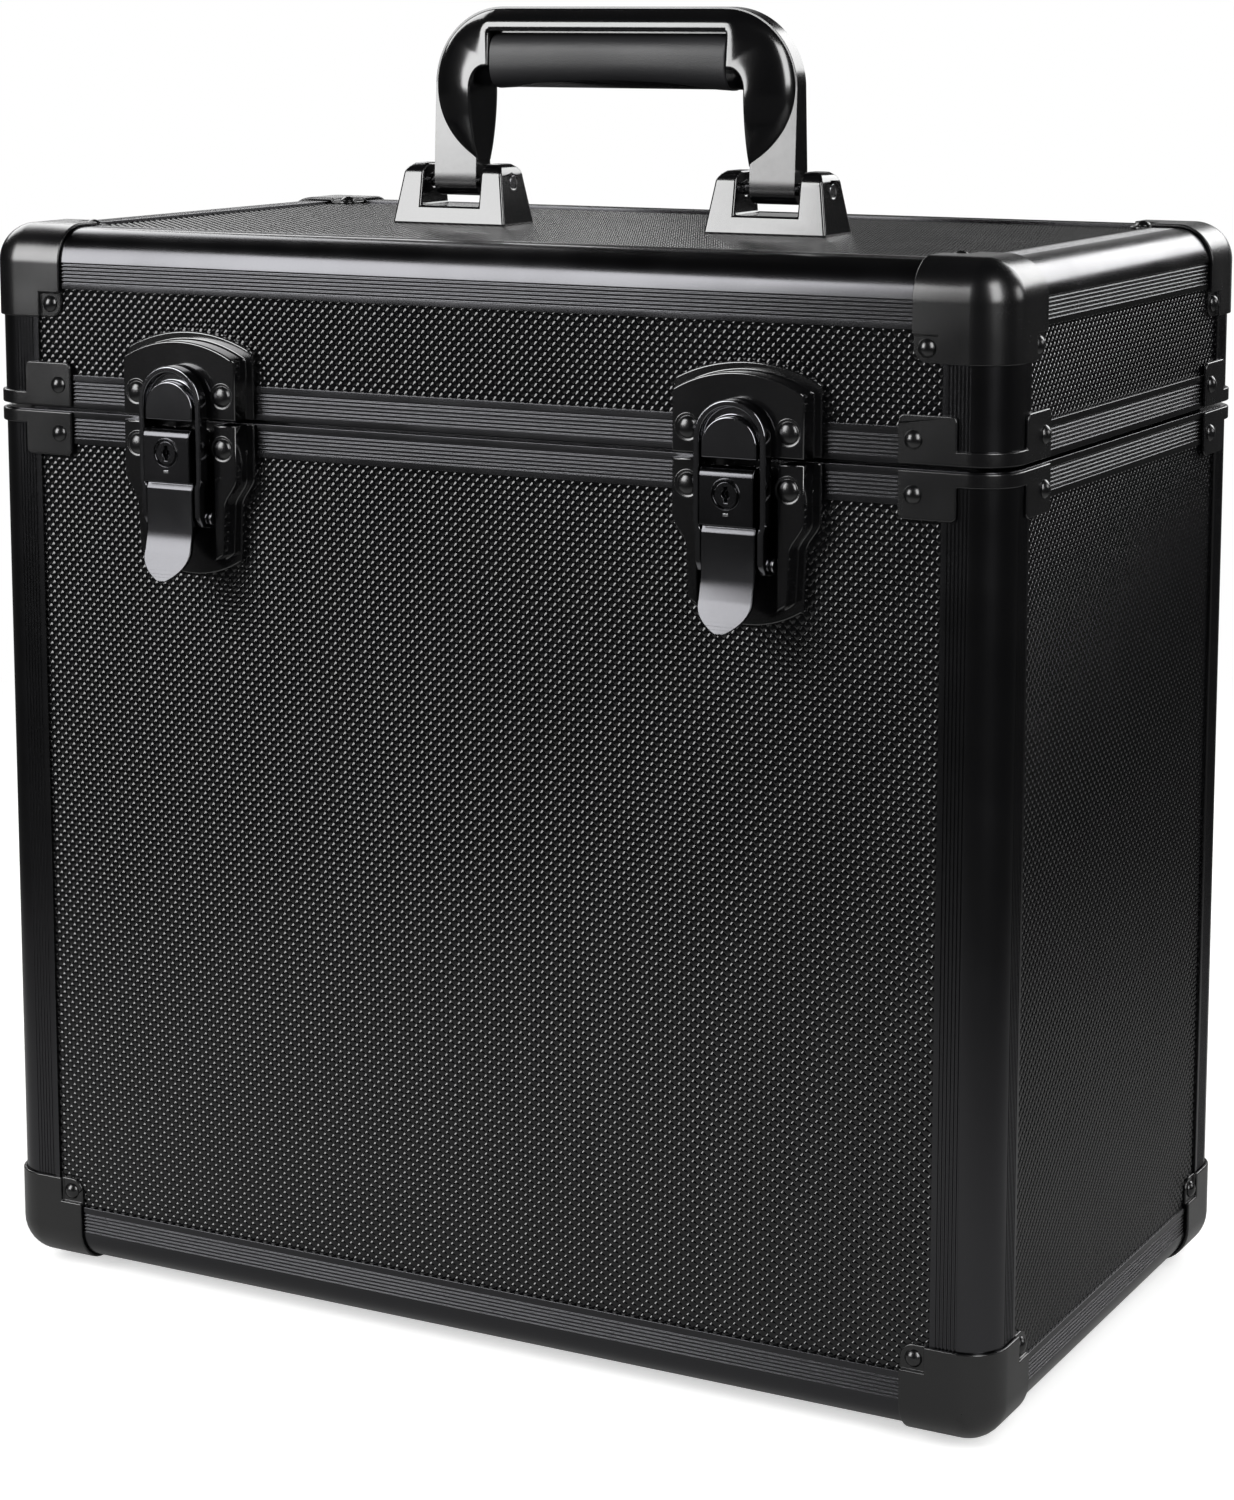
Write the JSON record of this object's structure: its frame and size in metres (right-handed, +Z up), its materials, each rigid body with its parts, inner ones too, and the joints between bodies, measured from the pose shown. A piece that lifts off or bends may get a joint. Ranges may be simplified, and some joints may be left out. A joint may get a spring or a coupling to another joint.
{
  "type": "record carrying case",
  "caption": "Upright framed carrying case for 12-inch records, with a hinged lid, draw latches, corner caps and a folding top handle.",
  "frame": {"origin": "on the surface that the feet stand on, below the middle of the closed case's overall box", "axes": "+Z up, +X to the case's right as seen from the front, +Y from the front with the latches to the hinged rear"},
  "size_m": [0.3658, 0.2354, 0.4278],
  "materials": {
    "panel_board": "board with an embossed black plastic skin",
    "frame_profile": "black anodised extrusion",
    "corner_steel": "black enamelled steel",
    "latch_steel": "gloss black enamelled steel",
    "lever_steel": "gloss black plated steel",
    "rivet_steel": "black rivet",
    "foot_rubber": "matte",
    "lining_foam": "dense dark foam",
    "bracket_zinc": "gloss black",
    "handle_plastic": "gloss black",
    "grip_plastic": "fine grained",
    "hinge_steel": "black steel",
    "lock_steel": "black plated",
    "bright_steel": "steel"
  },
  "bodies": {
    "case": {"front_panel": "panel_board", "rear_panel": "panel_board", "left_panel": "panel_board", "right_panel": "panel_board", "bottom_panel": "panel_board", "body_post_front_left": "frame_profile", "body_post_front_right": "frame_profile", "body_post_rear_right": "frame_profile", "body_post_rear_left": "frame_profile", "bottom_edge_front": "frame_profile", "bottom_edge_right": "frame_profile", "bottom_edge_rear": "frame_profile", "bottom_edge_left": "frame_profile", "body_rim": "frame_profile", "bottom_caps": "corner_steel", "body_clips": "corner_steel", "body_rivets": "rivet_steel", "feet": "foot_rubber", "foot_screws": "bright_steel", "body_lining": "lining_foam", "latch_plate_left": "latch_steel", "latch_plate_right": "latch_steel", "lever_pins": "bright_steel", "hinge_leaves_body": "hinge_steel", "hinge_pins": "bright_steel"},
    "lid": {"lid_top_panel": "panel_board", "lid_front_panel": "panel_board", "lid_rear_panel": "panel_board", "lid_left_panel": "panel_board", "lid_right_panel": "panel_board", "lid_edge_front": "frame_profile", "lid_edge_right": "frame_profile", "lid_edge_rear": "frame_profile", "lid_edge_left": "frame_profile", "lid_posts": "frame_profile", "lid_rim": "frame_profile", "lid_cap_front_left": "corner_steel", "lid_cap_front_right": "corner_steel", "lid_cap_rear_right": "corner_steel", "lid_cap_rear_left": "corner_steel", "lid_clips": "corner_steel", "lid_rivets": "rivet_steel", "lid_lining": "lining_foam", "catch_plate_left": "latch_steel", "catch_plate_right": "latch_steel", "hinge_leaves_lid": "hinge_steel", "handle_bracket_left": "bracket_zinc", "handle_bracket_right": "bracket_zinc", "bracket_screws": "bright_steel", "handle_pins": "bright_steel"},
    "handle": {"handle_frame": "handle_plastic", "handle_grip": "grip_plastic"},
    "lever_left": {"lever_left": "lever_steel", "bail_pin_left": "bright_steel"},
    "lock_left": {"lock_plug_left": "lock_steel"},
    "bail_left": {"bail_left": "latch_steel"},
    "lever_right": {"lever_right": "lever_steel", "bail_pin_right": "bright_steel"},
    "lock_right": {"lock_plug_right": "lock_steel"},
    "bail_right": {"bail_right": "latch_steel"}
  },
  "joints": [
    {"name": "lid_hinge", "type": "hinge", "parent": "case", "child": "lid", "pos_m": [0, 0.11175, 0.2972], "axis": [-1, 0, 0], "range_deg": [0, 97]},
    {"name": "handle_fold", "type": "hinge", "parent": "lid", "child": "handle", "pos_m": [0, 0.00505, 0.3696], "axis": [1, 0, 0], "range_deg": [-90, 90]},
    {"name": "lever_left_pull", "type": "hinge", "parent": "case", "child": "lever_left", "pos_m": [-0.0992, -0.10795, 0.292], "axis": [-1, 0, 0], "range_deg": [0, 100]},
    {"name": "lock_left_turn", "type": "hinge", "parent": "lever_left", "child": "lock_left", "pos_m": [-0.0992, -0.11345, 0.2875], "axis": [0, 1, 0], "range_deg": [0, 90]},
    {"name": "bail_left_swing", "type": "hinge", "parent": "lever_left", "child": "bail_left", "pos_m": [-0.0992, -0.10495, 0.2662], "axis": [-1, 0, 0], "range_deg": [-100, 0]},
    {"name": "lever_right_pull", "type": "hinge", "parent": "case", "child": "lever_right", "pos_m": [0.0992, -0.10795, 0.292], "axis": [-1, 0, 0], "range_deg": [0, 100]},
    {"name": "lock_right_turn", "type": "hinge", "parent": "lever_right", "child": "lock_right", "pos_m": [0.0992, -0.11345, 0.2875], "axis": [0, 1, 0], "range_deg": [0, 90]},
    {"name": "bail_right_swing", "type": "hinge", "parent": "lever_right", "child": "bail_right", "pos_m": [0.0992, -0.10495, 0.2662], "axis": [-1, 0, 0], "range_deg": [-100, 0]}
  ],
  "couplings": [
    {"joint": "bail_left_swing", "follows": "lever_left_pull", "ratio": -1},
    {"joint": "bail_right_swing", "follows": "lever_right_pull", "ratio": -1}
  ]
}
